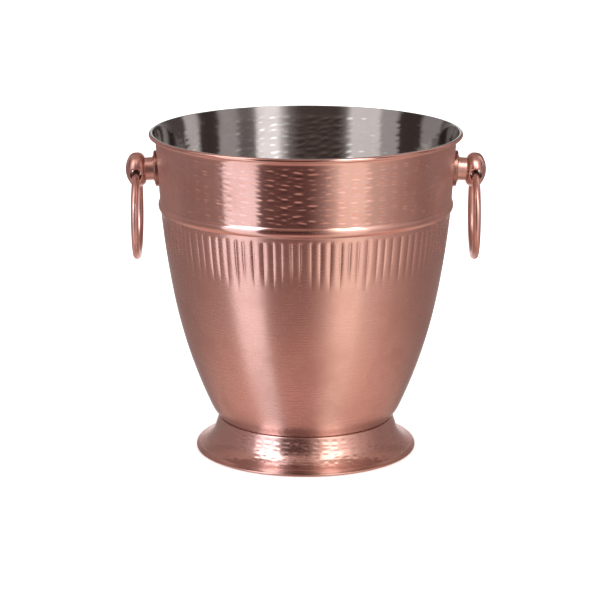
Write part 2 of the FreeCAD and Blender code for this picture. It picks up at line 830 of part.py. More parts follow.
def set_along(body, side, along):
    """Puts a washer on one handle's screw, at a distance out from the wall."""
    body.Placement = handle_place(side) * Placement(Vector(along.value, 0, 0), Rotation())
    return body


def handle(side):
    """One handle: the knob, its plate, the ring and the screw with its two washers."""
    clear_hole = size.screw_radius + size.screw_ease
    washer = flat_washer(f"{side}_washer", clear_hole, size.washer_radius, size.washer_height)
    lock = lock_washer(f"{side}_lock_washer", clear_hole, size.lock_radius, size.lock_height)
    return [
        knob(side),
        rosette(side),
        ring(side),
        handle_screw(side),
        set_along(washer, side, lock_front),
        set_along(lock, side, head_front),
    ]


# --- Assembly ----------------------------------------------------------------------------------


def check(pieces):
    """Stops if any object failed to compute or any sub-part isn't one or more sound solids."""
    for thing in doc.Objects:
        if {"Invalid", "Error"} & set(thing.State):
            raise RuntimeError(f"{thing.Name} is {thing.State}")
        if thing.TypeId == "Sketcher::SketchObject" and not thing.FullyConstrained:
            raise RuntimeError(f"{thing.Name} is loose")
    for piece in pieces:
        if piece.Shape.isNull() or not piece.Shape.isValid() or not piece.Shape.Solids:
            raise RuntimeError(f"{piece.Label} isn't a sound solid")


outline, floor_radius = bowl_outline()
pieces = [bowl(outline), foot(floor_radius), *foot_fixings()]
for side in SIDES:
    pieces += handle(side)
doc.recompute()
check(pieces)
os.makedirs("parts", exist_ok=True)
for piece in pieces:
    piece.Shape.exportStep(f"parts/{piece.Label}.step")
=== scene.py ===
import math
import random

import bmesh
import bpy
import numpy as np
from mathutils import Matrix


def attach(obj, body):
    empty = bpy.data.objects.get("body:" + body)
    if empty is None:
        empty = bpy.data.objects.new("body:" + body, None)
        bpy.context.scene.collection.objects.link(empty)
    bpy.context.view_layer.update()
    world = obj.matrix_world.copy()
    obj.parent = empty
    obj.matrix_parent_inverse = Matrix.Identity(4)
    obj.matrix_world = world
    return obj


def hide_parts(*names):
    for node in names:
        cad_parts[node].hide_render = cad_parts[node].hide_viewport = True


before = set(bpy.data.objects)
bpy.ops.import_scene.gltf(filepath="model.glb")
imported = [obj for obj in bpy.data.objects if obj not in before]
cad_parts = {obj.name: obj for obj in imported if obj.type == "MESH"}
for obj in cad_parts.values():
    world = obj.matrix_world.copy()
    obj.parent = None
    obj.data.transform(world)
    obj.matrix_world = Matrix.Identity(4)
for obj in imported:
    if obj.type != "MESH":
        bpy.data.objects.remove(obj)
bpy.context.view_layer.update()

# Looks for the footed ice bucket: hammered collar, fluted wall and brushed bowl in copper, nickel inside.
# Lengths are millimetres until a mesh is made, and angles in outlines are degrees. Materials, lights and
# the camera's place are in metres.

TURN = 2 * math.pi
BRUSHED, HAMMERED, INSIDE = 0, 1, 2

# --- Sizes, as in the CAD ------------------------------------------------------------------------

SHEET = 0.8
CURL, CURL_RADIUS = (108.4, 227.4), 1.6
FLARE, FLARE_RADIUS = (112.385, 222.651), 7.0
COLLAR_FOOT, COLLAR_TOP = (102.59, 180.8), (105.4, 223.11)
BEAD, BEAD_RADIUS = (98.912, 177.563), 4.9
UPPER_WALL, UPPER_RADIUS = (-545.087, 234.743), 650.0
LOWER_WALL, LOWER_RADIUS = (-251.739, 179.524), 351.5
CORNER, CORNER_RADIUS = (37.34, 47.5), 33.7
WALL_TOP, BELLY, CORNER_TOP, FLOOR = 173.8, 114.5, 33.5, 13.8
HANDLE_HEIGHT = 202.3

HEM_BACK, HEM_TURN, HEM_RADIUS = 73.7, (77.2, 1.3), 1.3
SHOULDER, SHOULDER_RADIUS = (76.3, 1.6), 2.2
FOOT_FLARE, FOOT_FLARE_RADIUS = (79.62, 18.68), 15.2
NECK_FOOT, NECK_TOP = (65.084, 14.236), (62.524, 22.61)
FOLD, FOLD_RADIUS = (61.472, 22.288), 1.1
DISH_RADIUS, SEAT_HOLE = 33.8, 4.2

# Columns of points round the axis, from the plain floor to the hammered collar.
FLOOR_COLUMNS, HIDDEN_COLUMNS, PLAIN_COLUMNS, HEM_COLUMNS = 96, 128, 192, 256
INNER_COLUMNS, FINE_COLUMNS, COLLAR_COLUMNS = 360, 384, 512

# --- Skins of sheet metal, turned about Z ---------------------------------------------------------

CRISP, SOFT = 2.1, 0.2  # how far the slopes across and along the hammer marks show in the shading
OUTWARD, INWARD = 1, -1
INSIDE_RISE, THROAT_RISE, SHOULDER_RISE = 0.3, 0.27, 0.9  # how far up some plain runs are shaded to face
INNER_SHARE, INNER_LEAN = 0.45, 0.22  # how much of each mark shows inside, and how its shading leans up


def arc(centre, radius, start, end, steps, facing=1):
    """Stations on an arc across the sheet: radius, height and the way the skin faces there."""
    stations = []
    for angle in np.radians(np.linspace(start, end, steps)):
        across, up = math.cos(angle), math.sin(angle)
        stations.append((centre[0] + radius * across, centre[1] + radius * up, facing * across, facing * up))
    return stations


def line(start, end, steps):
    """Stations on a straight run; the skin faces to the right of the way it is walked."""
    across, up = end[0] - start[0], end[1] - start[1]
    length = math.hypot(across, up)
    stations = []
    for share in np.linspace(0, 1, steps):
        stations.append((start[0] + across * share, start[1] + up * share, up / length, -across / length))
    return stations


def dip(centre, radius, height):
    """The angle, in degrees, at which an arc about a centre passes a height."""
    return math.degrees(math.asin((height - centre[1]) / radius))


def raised(rise, side):
    """A way to face: OUTWARD or INWARD for the side, and up by a rise."""
    return side * math.sqrt(1 - rise * rise), rise


def even(count):
    """Angles of evenly spaced columns round the axis."""
    return np.arange(count) * TURN / count


class Skin:
    """Rings of points round the Z axis, each joined to the one before it."""

    def __init__(self):
        self.points = []
        self.faces = []
        self.slots = []
        self.rings = []
        self.shading = []
        self.count = 0

    def ring(self, station, angles, pressed=0.0, slot=BRUSHED):
        """Adds a ring at a station; pressed is how far each point is pushed in below the skin."""
        radius, height, across, up = station
        radii = radius - across * pressed + 0 * angles
        heights = height - up * pressed + 0 * angles
        self.points.append(np.column_stack((radii * np.cos(angles), radii * np.sin(angles), heights)))
        ring = (self.count, angles)
        self.count += len(angles)
        if self.rings:
            self.join(self.rings[-1], ring, slot)
        self.rings.append(ring)

    def run(self, stations, columns, slot=BRUSHED, facing=None):
        """Adds plain rings; facing is the way their shading faces, if it isn't the sheet's own way."""
        for station in stations:
            if facing is not None:
                self.shade(even(columns), facing, 0.0)
            self.ring(station, even(columns), 0.0, slot)

    def grid(self, stations, columns, pressed, slot=BRUSHED, lean=0.0):
        """Adds rings pressed in by one row of a grid each, shaded by the slopes of the marks.

        Hammered sheet was planished after: its slopes across the marks are crisp, and those along
        them are nearly gone. lean turns the whole grid's shading up a little.
        """
        angles = even(columns)
        radii = np.array([station[0] for station in stations])
        heights = np.array([station[1] for station in stations])
        places = np.concatenate(([0.0], np.cumsum(np.hypot(np.diff(radii), np.diff(heights)))))
        along = np.gradient(pressed, places, axis=0)
        around = (np.roll(pressed, -1, axis=1) - np.roll(pressed, 1, axis=1)) / (2 * TURN / columns)
        for number, (station, row) in enumerate(zip(stations, pressed)):
            radius, _, across, up = station
            next_one = stations[min(number + 1, len(stations) - 1)]
            last_one = stations[max(number - 1, 0)]
            walk = (next_one[0] - last_one[0], next_one[1] - last_one[1])
            length = math.hypot(*walk)
            tilt = CRISP * along[number] / length
            facing = (across + tilt * walk[0], up + tilt * walk[1] + lean)
            self.shade(angles, facing, SOFT * around[number] / radius)
            self.ring(station, angles, row, slot)

    def shade(self, angles, facing, sideways):
        """Sets the shading of the ring that comes next: its way across and up, and its turn sideways."""
        across, up = facing
        east = across * np.cos(angles) - sideways * np.sin(angles)
        north = across * np.sin(angles) + sideways * np.cos(angles)
        self.shading.append((self.count, np.column_stack((east, north, up + 0 * angles))))

    def join(self, below, above, slot):
        """Joins two rings with quads, or by angle with triangles if their columns differ."""
        start_a, angles_a = below
        start_b, angles_b = above
        size_a, size_b = len(angles_a), len(angles_b)
        before = len(self.faces)
        if size_a == size_b:
            for i in range(size_a):
                j = (i + 1) % size_a
                self.faces.append((start_a + i, start_a + j, start_b + j, start_b + i))
        else:
            i = j = 0
            while i < size_a or j < size_b:
                next_a = angles_a[i + 1] if i + 1 < size_a else angles_a[0] + TURN
                next_b = angles_b[j + 1] if j + 1 < size_b else angles_b[0] + TURN
                here_a, here_b = start_a + i % size_a, start_b + j % size_b
                if j >= size_b or (i < size_a and next_a <= next_b):
                    self.faces.append((here_a, start_a + (i + 1) % size_a, here_b))
                    i += 1
                else:
                    self.faces.append((here_a, start_b + (j + 1) % size_b, here_b))
                    j += 1
        self.slots += [slot] * (len(self.faces) - before)

    def cap(self, height, first):
        """Closes the first or the last ring on a point of the axis."""
        start, angles = self.rings[0 if first else -1]
        self.points.append(np.array([[0.0, 0.0, height]]))
        for i in range(len(angles)):
            j = (i + 1) % len(angles)
            edge = (start + j, start + i) if first else (start + i, start + j)
            self.faces.append((*edge, self.count))
            self.slots.append(BRUSHED if first else INSIDE)
        self.count += 1

    def piece(self, name, materials):
        """Makes the mesh, in metres."""
        mesh = bpy.data.meshes.new(name)
        mesh.from_pydata((np.vstack(self.points) * 0.001).tolist(), [], self.faces)
        for material in materials:
            mesh.materials.append(material)
        mesh.polygons.foreach_set("material_index", self.slots)
        mesh.polygons.foreach_set("use_smooth", [True] * len(self.faces))
        mesh.update()
        normals = np.empty(self.count * 3)
        mesh.vertices.foreach_get("normal", normals)
        normals = normals.reshape(-1, 3)
        for start, facing in self.shading:
            normals[start:start + len(facing)] = facing
        normals /= np.linalg.norm(normals, axis=1)[:, None]
        mesh.normals_split_custom_set_from_vertices(normals.tolist())
        made = bpy.data.objects.new(name, mesh)
        bpy.context.scene.collection.objects.link(made)
        return made


# --- Hammer marks ---------------------------------------------------------------------------------

STEEP_SIDE, EASY_SIDE = 0.8, 1.6  # how far a mark reaches up and down, in half widths
WAVES = 14
FOOT_MARK_RADIUS = 66.0  # where the foot's marks have the length that they are given


def hammer_marks(seed, low, high, rows, columns, length, width, depth):
    """Marks struck column by column: angle, place along the outline, half sizes, slant and depth of each."""
    hand = random.Random(seed)
    pitch = (high - low) / (rows - 1)
    marks = []
    for column in range(columns):
        start = low + hand.uniform(-0.3, 0.3) * pitch
        for row in range(rows):
            marks.append((
                (column + hand.gauss(0.5, 0.07)) * TURN / columns,
                min(max(start + (row + hand.gauss(0, 0.13)) * pitch, low), high),
                length / 2 * hand.uniform(0.8, 1.15),
                width / 2 * hand.uniform(0.8, 1.15),
                hand.gauss(-0.08, 0.06),
                depth * hand.uniform(0.6, 1.2),
            ))
    return marks


def pressed_in(marks, angles, places, radius):
    """How far a grid of points lies below the skin, one row for each place along the outline."""
    depths = np.zeros((len(places), len(angles)))
    places = np.asarray(places)
    for around, along, half_length, half_width, slant, depth in marks:
        offsets = ((angles - around + math.pi) % TURN - math.pi) * radius
        columns = np.nonzero(abs(offsets) < half_length)[0]
        rows = np.nonzero(abs(places - along) < EASY_SIDE * half_width + 0.3 * half_length)[0]
        if len(columns) == 0 or len(rows) == 0:
            continue
        across = offsets[columns][None, :]
        up = (places[rows] - along)[:, None] - slant * across
        fade = (1 - (across / half_length) ** 2) ** 2
        side = np.where(up > 0, STEEP_SIDE, EASY_SIDE) * half_width
        dip_shape = np.clip(1 - (up / side) ** 2 / np.maximum(fade, 0.05) ** 0.4, 0, None)
        spot = np.ix_(rows, columns)
        depths[spot] = np.maximum(depths[spot], depth * fade * dip_shape)
    return depths


def uneven(angles, places, seed, size):
    """Slow waves left by hand work, on the same grid as the marks."""
    hand = random.Random(seed)
    waves = np.zeros((len(places), len(angles)))
    for _ in range(WAVES):
        turns = hand.randint(5, 46)
        pitch = hand.uniform(9, 40)
        phase = hand.uniform(0, TURN)
        lean = np.asarray(places)[:, None] / pitch * TURN * hand.choice((-1, 1))
        waves += np.sin(turns * angles[None, :] + lean + phase) * size / WAVES ** 0.5
    return waves


# --- Flutes of the upper wall ---------------------------------------------------------------------

FLUTES, FLUTE_HALF_WIDTH, FLUTE_DEPTH = 96, 1.2, 0.25
FLUTE_TOP, FLUTE_FOOT = 170.6, 137.0
FLUTE_COLUMNS = (-1.0, -0.72, -0.38, 0.0, 0.38, 0.72, 1.0)


def flute_cuts():
    """Each flute's angle, top, foot, half width and depth, as a hand-fed tool leaves them."""
    hand = random.Random(41)
    cuts = []
    for number in range(FLUTES):
        cuts.append((
            (number + 0.5 + hand.uniform(-0.11, 0.11)) * TURN / FLUTES,
            FLUTE_TOP + hand.gauss(0, 0.25),
            FLUTE_FOOT + hand.gauss(0, 1.3),
            FLUTE_HALF_WIDTH * hand.uniform(0.88, 1.1),
            FLUTE_DEPTH * hand.uniform(0.8, 1.15),
        ))
    return cuts


def flute_row(cuts, height, radius):
    """Column angles and depths of the flutes at one height."""
    angles, depths = [], []
    for number, (around, top, foot, half_width, depth) in enumerate(cuts):
        before = cuts[number - 1][0] - (TURN if number == 0 else 0)
        share = min(max((height - foot) / (top - foot), 0.0), 1.0)
        below_top = min(max((top - height) / half_width, 0.0), 1.0)
        end = math.sqrt(1 - (1 - below_top) ** 2)
        narrow = (0.42 + 0.58 * share ** 0.8) * max(end, 0.3)
        angles.append((before + around) / 2)
        depths.append(0.0)
        for place in FLUTE_COLUMNS:
            angles.append(around + place * half_width * narrow / radius)
            depths.append(depth * end * min(1.0, 1.9 * share) * (1 - place * place))
    return np.array(angles), np.array(depths)


# --- Bowl -----------------------------------------------------------------------------------------

FLAT_REACH, FLAT_FADE = 40.0, 18.0  # from a handle to where marks start, and over which they grow
FLUTE_HEIGHTS = (
    135.2, 138.2, 141.2, 144.5, 148, 152, 156, 160, 164, 167.3, 168.7, 169.6, 170.2, 170.8, 171.6,
)


def handle_flats(angles, heights, radius):
    """1 where the sheet is worked, falling to 0 round the two rosettes, where it stays true."""
    nearest = np.minimum(abs(angles - math.pi), np.minimum(angles, TURN - angles)) * radius
    away = np.hypot(nearest[None, :], np.asarray(heights)[:, None] - HANDLE_HEIGHT)
    return np.clip((away - FLAT_REACH) / FLAT_FADE, 0, 1)


def worked_collar(heights, columns):
    """The collar's hammer marks on a grid of heights and columns."""
    angles = even(columns)
    radius = (COLLAR_FOOT[0] + COLLAR_TOP[0]) / 2
    marks = hammer_marks(
        seed=7, low=183.9, high=220.4, rows=8, columns=68, length=10.2, width=2.5, depth=0.16)
    marks += hammer_marks(
        seed=13, low=183.0, high=221.0, rows=13, columns=88, length=8.4, width=1.8, depth=0.075)
    depths = pressed_in(marks, angles, heights, radius) + uneven(angles, heights, seed=11, size=0.018)
    return depths * handle_flats(angles, heights, radius)


def bowl_skin():
    """The whole bowl as one closed skin, from under its floor, over the rim and down inside."""
    skin = Skin()
    skin.run(line((6, FLOOR), (CORNER[0], FLOOR), 5), FLOOR_COLUMNS)
    corner_end = dip(CORNER, CORNER_RADIUS, CORNER_TOP)
    skin.run(arc(CORNER, CORNER_RADIUS, -87, corner_end, 14), PLAIN_COLUMNS)
    belly = dip(LOWER_WALL, LOWER_RADIUS, BELLY)
    skin.run(arc(LOWER_WALL, LOWER_RADIUS, corner_end + 0.6, belly, 16), PLAIN_COLUMNS)
    plain_top = dip(UPPER_WALL, UPPER_RADIUS, FLUTE_FOOT - 3.5)
    plain_foot = dip(UPPER_WALL, UPPER_RADIUS, BELLY + 4)
    skin.run(arc(UPPER_WALL, UPPER_RADIUS, plain_foot, plain_top, 4), PLAIN_COLUMNS)
    cuts = flute_cuts()
    for height in FLUTE_HEIGHTS:
        angle = dip(UPPER_WALL, UPPER_RADIUS, height)
        station = arc(UPPER_WALL, UPPER_RADIUS, angle, angle, 1)[0]
        angles, depths = flute_row(cuts, height, station[0])
        skin.ring(station, angles, depths)
    top_angles = [dip(UPPER_WALL, UPPER_RADIUS, height) for height in (172.6, WALL_TOP - 0.15)]
    skin.run(arc(UPPER_WALL, UPPER_RADIUS, top_angles[0], top_angles[1], 2), FINE_COLUMNS)
    skin.run(arc(BEAD, BEAD_RADIUS, -49.5, 40.6, 11), FINE_COLUMNS, HAMMERED)
    stations = line(COLLAR_FOOT, COLLAR_TOP, 72)
    worked = worked_collar([station[1] for station in stations], COLLAR_COLUMNS)
    skin.grid(stations, COLLAR_COLUMNS, worked, HAMMERED)
    skin.run(arc(FLARE, FLARE_RADIUS, 170, 133, 5, facing=-1), FINE_COLUMNS, HAMMERED)
    skin.run(arc(CURL, CURL_RADIUS - SHEET, 178, 206, 2, facing=-1), FINE_COLUMNS, HAMMERED)
    skin.run(arc(CURL, CURL_RADIUS, 208, 424, 12), FINE_COLUMNS, HAMMERED)
    skin.run(arc(CURL, CURL_RADIUS, 436, 470, 3), FINE_COLUMNS, INSIDE)
    inside_facing = raised(INSIDE_RISE, INWARD)
    throat_facing = raised(THROAT_RISE, INWARD)
    skin.run(arc(CURL, CURL_RADIUS, 484, 490, 2), FINE_COLUMNS, INSIDE, inside_facing)
    skin.run(arc(FLARE, FLARE_RADIUS + SHEET, 136, 172, 5), INNER_COLUMNS, INSIDE, throat_facing)
    inner_top = (COLLAR_TOP[0] - SHEET, COLLAR_TOP[1])
    inner_foot = (COLLAR_FOOT[0] - SHEET, COLLAR_FOOT[1])
    stations = line(inner_top, inner_foot, 46)
    worked = worked_collar([station[1] for station in stations], INNER_COLUMNS)
    skin.grid(stations, INNER_COLUMNS, -INNER_SHARE * worked, INSIDE, lean=INNER_LEAN)
    stations = arc(BEAD, BEAD_RADIUS - SHEET, 36, -46, 7, facing=-1)
    skin.run(stations, INNER_COLUMNS, INSIDE, inside_facing)
    wall_foot = dip(UPPER_WALL, UPPER_RADIUS, BELLY)
    stations = arc(UPPER_WALL, UPPER_RADIUS - SHEET, top_angles[1] - 0.1, wall_foot, 9, facing=-1)
    skin.run(stations, PLAIN_COLUMNS, INSIDE)
    stations = arc(LOWER_WALL, LOWER_RADIUS - SHEET, belly - 0.6, corner_end, 13, facing=-1)
    skin.run(stations, PLAIN_COLUMNS, INSIDE)
    skin.run(arc(CORNER, CORNER_RADIUS - SHEET, corner_end - 4, -90, 12, facing=-1), PLAIN_COLUMNS, INSIDE)
    skin.run(line((30, FLOOR + SHEET), (3, FLOOR + SHEET), 4), FLOOR_COLUMNS, INSIDE)
    skin.cap(FLOOR, first=True)
    skin.cap(FLOOR + SHEET, first=False)
    return skin


# --- Foot -----------------------------------------------------------------------------------------


def foot_skin():
    """The foot as one closed skin, from its hem, up the flare, over the fold and back underneath."""
    skin = Skin()
    skin.run(line((HEM_BACK, 0), (HEM_TURN[0], 0), 3), HEM_COLUMNS)
    skin.run(arc(HEM_TURN, HEM_RADIUS, -70, 0, 4), HEM_COLUMNS)
    skin.run(arc(SHOULDER, SHOULDER_RADIUS, 6, 79, 7), FINE_COLUMNS, BRUSHED, raised(SHOULDER_RISE, OUTWARD))
    outer = arc(FOOT_FLARE, FOOT_FLARE_RADIUS, 257.5, 197, 28, facing=-1)
    outer += line(NECK_FOOT, NECK_TOP, 15)[1:]
    places = [0.0]
    for before, after in zip(outer, outer[1:]):
        places.append(places[-1] + math.hypot(after[0] - before[0], after[1] - before[1]))
    angles = even(FINE_COLUMNS)
    marks = hammer_marks(
        seed=23, low=6.0, high=places[-1] - 2.2, rows=6, columns=58, length=6.2, width=2.8, depth=0.2)
    marks += hammer_marks(
        seed=29, low=1.5, high=6.5, rows=3, columns=46, length=7.0, width=1.6, depth=0.07)
    worked = pressed_in(marks, angles, places, FOOT_MARK_RADIUS) + uneven(angles, places, seed=31, size=0.03)
    skin.grid(outer, FINE_COLUMNS, worked)
    skin.run(arc(FOLD, FOLD_RADIUS, 26, 150, 9), FINE_COLUMNS)
    dish_start = dip(CORNER, DISH_RADIUS, NECK_TOP[1] - 0.3)
    skin.run(arc(CORNER, DISH_RADIUS, dish_start, -88, 12, facing=-1), PLAIN_COLUMNS)
    skin.run(line((34, FLOOR), (SEAT_HOLE, FLOOR), 4), FLOOR_COLUMNS)
    skin.run(line((SEAT_HOLE, FLOOR - SHEET), (37.0, FLOOR - SHEET), 4), FLOOR_COLUMNS)
    skin.run(arc(CORNER, DISH_RADIUS + SHEET, -88, dish_start - 1.2, 9), HIDDEN_COLUMNS)
    neck_inner_top = (NECK_TOP[0] - SHEET, NECK_TOP[1] - 0.6)
    neck_inner_foot = (NECK_FOOT[0] - SHEET, NECK_FOOT[1] - 0.2)
    skin.run(line(neck_inner_top, neck_inner_foot, 4), HIDDEN_COLUMNS)
    skin.run(arc(FOOT_FLARE, FOOT_FLARE_RADIUS + SHEET, 197, 257, 10), HIDDEN_COLUMNS)
    skin.run([(76.6, 2.7, 0, -1), (77.6, 2.0, -1, 0), (77.6, 1.4, -1, 0)], PLAIN_COLUMNS)
    skin.run([(77.0, 0.8, 0, 1), (HEM_BACK, 0.8, 0, 1)], HEM_COLUMNS)
    skin.join(skin.rings[-1], skin.rings[0], BRUSHED)
    return skin


# --- Materials ------------------------------------------------------------------------------------


class Nodes:
    """Short names for building a node tree."""

    def __init__(self, tree):
        self.tree = tree
        tree.nodes.clear()

    def add(self, kind, **settings):
        node = self.tree.nodes.new(kind)
        for name, value in settings.items():
            setattr(node, name, value)
        return node

    def link(self, source, target):
        self.tree.links.new(source, target)

    def math(self, operation, first, second=0.0):
        node = self.add("ShaderNodeMath", operation=operation)
        for socket, value in zip(node.inputs, (first, second)):
            if isinstance(value, bpy.types.NodeSocket):
                self.link(value, socket)
            else:
                socket.default_value = value
        return node.outputs[0]

    def noise(self, stretch, scale, detail, roughness=0.5):
        """Noise over the object's own coordinates, each axis scaled first."""
        place = self.add("ShaderNodeTexCoord")
        scaled = self.add("ShaderNodeVectorMath", operation="MULTIPLY")
        scaled.inputs[1].default_value = stretch
        self.link(place.outputs["Object"], scaled.inputs[0])
        texture = self.add("ShaderNodeTexNoise")
        self.link(scaled.outputs[0], texture.inputs["Vector"])
        texture.inputs["Scale"].default_value = scale
        texture.inputs["Detail"].default_value = detail
        texture.inputs["Roughness"].default_value = roughness
        return texture.outputs["Fac"]

    def span(self, value, low, high, to_low=0.0, to_high=1.0, smooth=True):
        """Maps a range of a value to another range, clamped."""
        node = self.add("ShaderNodeMapRange", interpolation_type="SMOOTHSTEP" if smooth else "LINEAR")
        self.link(value, node.inputs["Value"])
        for name, number in (("From Min", low), ("From Max", high), ("To Min", to_low), ("To Max", to_high)):
            node.inputs[name].default_value = number
        return node.outputs[0]

    def mix(self, share, first, second, blend="MIX"):
        """Mixes two colours, given as sockets or as red, green and blue."""
        node = self.add("ShaderNodeMix", data_type="RGBA", blend_type=blend)
        if isinstance(share, bpy.types.NodeSocket):
            self.link(share, node.inputs[0])
        else:
            node.inputs[0].default_value = share
        for socket, colour in ((node.inputs[6], first), (node.inputs[7], second)):
            if isinstance(colour, bpy.types.NodeSocket):
                self.link(colour, socket)
            else:
                socket.default_value = (*colour, 1.0)
        return node.outputs[2]


SIDE_START, SIDE_FULL = 0.072, 0.092  # metres from the middle, where the collar turns dull


def metal(name, colour, tarnish, roughness, brush, marks, streak=0.0, side_dulling=0.0, mirrored=None):
    """A worked metal. brush is the depth in metres of its brush lines, marks that of small dings.

    streak is how far reflections are drawn out across the brush lines, which run round the Z axis.
    side_dulling is the roughness added beside the handles, where the sheet is left as it was brushed.
    mirrored is the colour it shows in another mirror, where copper on copper would turn too red.
    """
    material = bpy.data.materials.new(name)
    material.use_nodes = True
    nodes = Nodes(material.node_tree)
    output = nodes.add("ShaderNodeOutputMaterial")
    surface = nodes.add("ShaderNodeBsdfPrincipled")
    nodes.link(surface.outputs[0], output.inputs["Surface"])
    surface.inputs["Metallic"].default_value = 1.0
    cloud = nodes.noise(stretch=(1, 1, 1), scale=38, detail=4, roughness=0.6)
    lines = nodes.noise(stretch=(1, 1, 42), scale=60, detail=3, roughness=0.7)
    fine = nodes.noise(stretch=(1, 1, 30), scale=420, detail=2, roughness=0.6)
    dings = nodes.noise(stretch=(1, 1, 1), scale=900, detail=3, roughness=0.6)
    worn = nodes.span(cloud, 0.42, 0.72)
    lined = nodes.span(lines, 0.3, 0.7)
    shade = nodes.mix(nodes.math("MULTIPLY", worn, 0.5), colour, tarnish)
    shade = nodes.mix(nodes.math("MULTIPLY", lined, 0.16), shade, tarnish)
    if mirrored:
        ray = nodes.add("ShaderNodeLightPath")
        shade = nodes.mix(ray.outputs["Is Glossy Ray"], shade, mirrored)
    nodes.link(shade, surface.inputs["Base Color"])
    rough = nodes.math("MULTIPLY_ADD", worn, 0.06)
    rough.node.inputs[2].default_value = roughness - 0.03
    lined_rough = nodes.math("MULTIPLY_ADD", lined, 0.06)
    nodes.link(rough, lined_rough.node.inputs[2])
    if side_dulling:
        place = nodes.add("ShaderNodeTexCoord")
        spot = nodes.add("ShaderNodeSeparateXYZ")
        nodes.link(place.outputs["Object"], spot.inputs[0])
        sideways = nodes.math("ABSOLUTE", spot.outputs[0])
        dull = nodes.span(sideways, SIDE_START, SIDE_FULL, 0.0, side_dulling)
        nodes.link(nodes.math("ADD", lined_rough, dull), surface.inputs["Roughness"])
    else:
        nodes.link(lined_rough, surface.inputs["Roughness"])
    if streak:
        surface.inputs["Anisotropic"].default_value = streak
        surface.inputs["Anisotropic Rotation"].default_value = 0.25
        tangent = nodes.add("ShaderNodeTangent", direction_type="RADIAL", axis="Z")
        nodes.link(tangent.outputs[0], surface.inputs["Tangent"])
    height = nodes.math("ADD", nodes.math("MULTIPLY", lines, 0.6), nodes.math("MULTIPLY", fine, 0.4))
    brushed = nodes.add("ShaderNodeBump")
    brushed.inputs["Strength"].default_value = 1.0
    brushed.inputs["Distance"].default_value = brush
    nodes.link(height, brushed.inputs["Height"])
    dinged = nodes.add("ShaderNodeBump")
    dinged.inputs["Strength"].default_value = 1.0
    dinged.inputs["Distance"].default_value = marks
    nodes.link(dings, dinged.inputs["Height"])
    nodes.link(brushed.outputs[0], dinged.inputs["Normal"])
    nodes.link(dinged.outputs[0], surface.inputs["Normal"])
    return material


COPPER, COPPER_TARNISH, DEEP_TARNISH = (0.74, 0.40, 0.345), (0.63, 0.31, 0.26), (0.62, 0.29, 0.23)
PALE_COPPER = (0.74, 0.60, 0.57)

brushed_copper = metal(
    "brushed_copper", COPPER, COPPER_TARNISH,
    roughness=0.27, brush=0.00001, marks=0.000001, streak=0.75, mirrored=PALE_COPPER)
hammered_copper = metal(
    "hammered_copper", COPPER, DEEP_TARNISH,
    roughness=0.11, brush=0.000001, marks=0.0000005, side_dulling=0.26, mirrored=PALE_COPPER)
foot_copper = metal(
    "foot_copper", COPPER, DEEP_TARNISH,
    roughness=0.22, brush=0.000001, marks=0.0000005, mirrored=PALE_COPPER)
copper_knob = metal(
    "copper_knob", COPPER, COPPER_TARNISH,
    roughness=0.28, brush=0.000001, marks=0.0000005, mirrored=PALE_COPPER)
copper_plate = metal(
    "copper_plate", (0.42, 0.21, 0.17), (0.26, 0.12, 0.10),
    roughness=0.24, brush=0.000002, marks=0.000001)
copper_ring = metal(
    "copper_ring", COPPER, COPPER_TARNISH,
    roughness=0.3, brush=0.0000003, marks=0.0000003, mirrored=PALE_COPPER)
bright_nickel = metal(
    "bright_nickel", (0.42, 0.405, 0.39), (0.34, 0.32, 0.305),
    roughness=0.08, brush=0.000001, marks=0.0000005)
plain_steel = metal(
    "plain_steel", (0.60, 0.59, 0.57), (0.42, 0.40, 0.38),
    roughness=0.3, brush=0.000002, marks=0.000002)

# --- Pieces ---------------------------------------------------------------------------------------

bowl = bowl_skin().piece("bowl_worked", [brushed_copper, hammered_copper, bright_nickel])
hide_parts("bowl")
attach(bowl, "bucket")

foot = foot_skin().piece("foot_worked", [foot_copper])
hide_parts("foot")
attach(foot, "bucket")

FINISHES = {
    "knob": copper_knob,
    "rosette": copper_plate,
    "ring": copper_ring,
}
for node_name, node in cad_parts.items():
    kind = node_name.rsplit("_", 1)[-1]
    finish = FINISHES.get(kind, plain_steel)
    if node_name not in ("bowl", "foot"):
        node.data.materials.clear()
        node.data.materials.append(finish)

# --- Stage ----------------------------------------------------------------------------------------


def pale_floor():
    """A wide pale floor that reflections look past, so that the metal shows the studio."""
    mesh = bpy.data.meshes.new("floor")
    reach = 9.0
    corners = [(-reach, -reach, 0), (reach, -reach, 0), (reach, reach, 0), (-reach, reach, 0)]
    mesh.from_pydata(corners, [], [(0, 1, 2, 3)])
    made = bpy.data.objects.new("floor", mesh)
    bpy.context.scene.collection.objects.link(made)
    material = bpy.data.materials.new("floor_paper")
    material.use_nodes = True
    nodes = Nodes(material.node_tree)
    output = nodes.add("ShaderNodeOutputMaterial")
    surface = nodes.add("ShaderNodeBsdfDiffuse")
    surface.inputs["Color"].default_value = (0.92, 0.92, 0.92, 1)
    nodes.link(surface.outputs[0], output.inputs["Surface"])
    mesh.materials.append(material)
    made.visible_glossy = False


